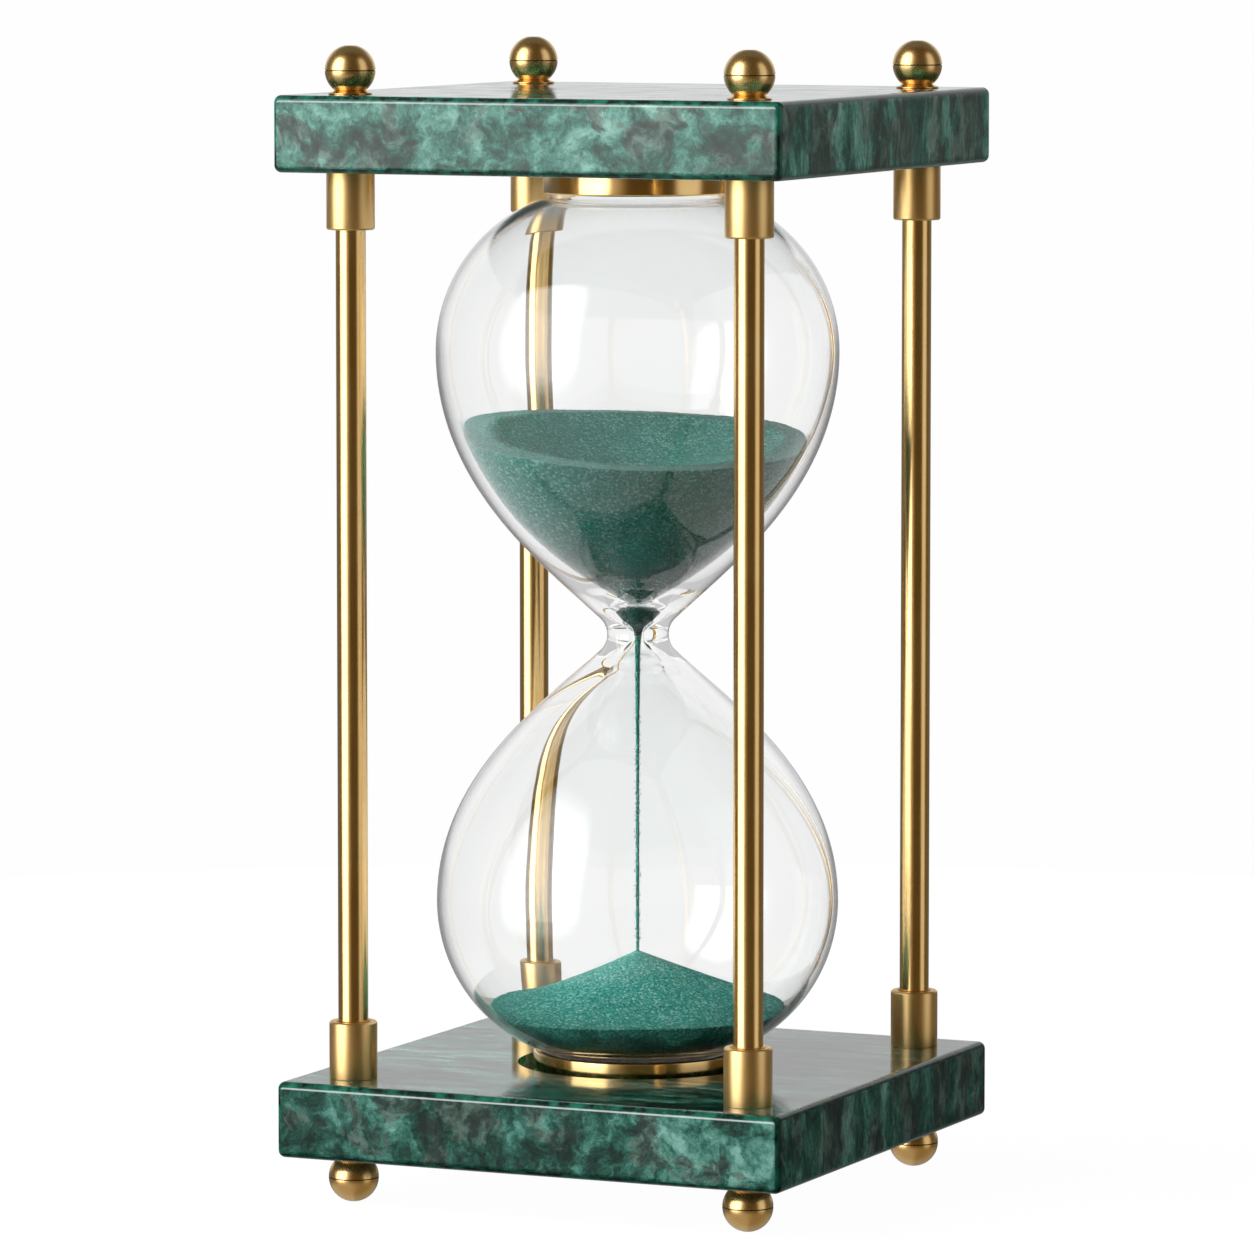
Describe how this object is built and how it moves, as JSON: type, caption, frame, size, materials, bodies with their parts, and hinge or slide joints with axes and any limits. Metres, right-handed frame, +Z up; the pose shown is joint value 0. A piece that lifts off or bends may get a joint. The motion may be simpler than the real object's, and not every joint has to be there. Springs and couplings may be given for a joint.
{
  "type": "hourglass",
  "caption": "Tall hourglass: a blown glass with green sand stands in brass rings between square green marble slabs held by brass posts with ball feet and finials.",
  "frame": {"origin": "on the floor, under the middle of the four ball feet", "axes": "+Z up along the glass, -Y the front, +X to the right seen from the front"},
  "size_m": [0.15, 0.15, 0.3174],
  "materials": {
    "marble": "polished",
    "brass": "satin",
    "steel": "satin",
    "glass": "polished",
    "sand": "matte",
    "cork": "matte",
    "rubber": "matte"
  },
  "bodies": {
    "stand": {"base_plate": "marble", "top_plate": "marble", "post_front_left": "brass", "post_front_right": "brass", "post_back_right": "brass", "post_back_left": "brass", "tie_rod_front_left": "steel", "tie_rod_front_right": "steel", "tie_rod_back_right": "steel", "tie_rod_back_left": "steel", "lower_sleeve_front_left": "brass", "lower_sleeve_front_right": "brass", "lower_sleeve_back_right": "brass", "lower_sleeve_back_left": "brass", "upper_sleeve_front_left": "brass", "upper_sleeve_front_right": "brass", "upper_sleeve_back_right": "brass", "upper_sleeve_back_left": "brass", "foot_ball_front_left": "brass", "foot_ball_front_right": "brass", "foot_ball_back_right": "brass", "foot_ball_back_left": "brass", "foot_collars": "brass", "lower_ring": "brass", "upper_ring": "brass", "lower_pad": "cork", "upper_pad": "cork", "glass": "glass", "stopper": "rubber", "sand_upper": "sand", "sand_stream": "sand", "sand_lower": "sand"},
    "collar_front_left": {"finial_collar_front_left": "brass"},
    "ball_front_left": {"finial_ball_front_left": "brass"},
    "collar_front_right": {"finial_collar_front_right": "brass"},
    "ball_front_right": {"finial_ball_front_right": "brass"},
    "collar_back_right": {"finial_collar_back_right": "brass"},
    "ball_back_right": {"finial_ball_back_right": "brass"},
    "collar_back_left": {"finial_collar_back_left": "brass"},
    "ball_back_left": {"finial_ball_back_left": "brass"}
  },
  "joints": [
    {"name": "collar_rise_front_left", "type": "slide", "parent": "stand", "child": "collar_front_left", "axis": [0, 0, 1], "range_m": [0, 0.0056]},
    {"name": "ball_turn_front_left", "type": "hinge", "parent": "collar_front_left", "child": "ball_front_left", "pos_m": [-0.0591, -0.0591, 0.3052], "axis": [0, 0, 1], "range_deg": [0, 2880]},
    {"name": "collar_rise_front_right", "type": "slide", "parent": "stand", "child": "collar_front_right", "axis": [0, 0, 1], "range_m": [0, 0.0056]},
    {"name": "ball_turn_front_right", "type": "hinge", "parent": "collar_front_right", "child": "ball_front_right", "pos_m": [0.0591, -0.0591, 0.3052], "axis": [0, 0, 1], "range_deg": [0, 2880]},
    {"name": "collar_rise_back_right", "type": "slide", "parent": "stand", "child": "collar_back_right", "axis": [0, 0, 1], "range_m": [0, 0.0056]},
    {"name": "ball_turn_back_right", "type": "hinge", "parent": "collar_back_right", "child": "ball_back_right", "pos_m": [0.0591, 0.0591, 0.3052], "axis": [0, 0, 1], "range_deg": [0, 2880]},
    {"name": "collar_rise_back_left", "type": "slide", "parent": "stand", "child": "collar_back_left", "axis": [0, 0, 1], "range_m": [0, 0.0056]},
    {"name": "ball_turn_back_left", "type": "hinge", "parent": "collar_back_left", "child": "ball_back_left", "pos_m": [-0.0591, 0.0591, 0.3052], "axis": [0, 0, 1], "range_deg": [0, 2880]}
  ],
  "couplings": [
    {"joint": "ball_turn_front_left", "follows": "collar_rise_front_left", "rad_per_m": 8976},
    {"joint": "ball_turn_front_right", "follows": "collar_rise_front_right", "rad_per_m": 8976},
    {"joint": "ball_turn_back_right", "follows": "collar_rise_back_right", "rad_per_m": 8976},
    {"joint": "ball_turn_back_left", "follows": "collar_rise_back_left", "rad_per_m": 8976}
  ]
}
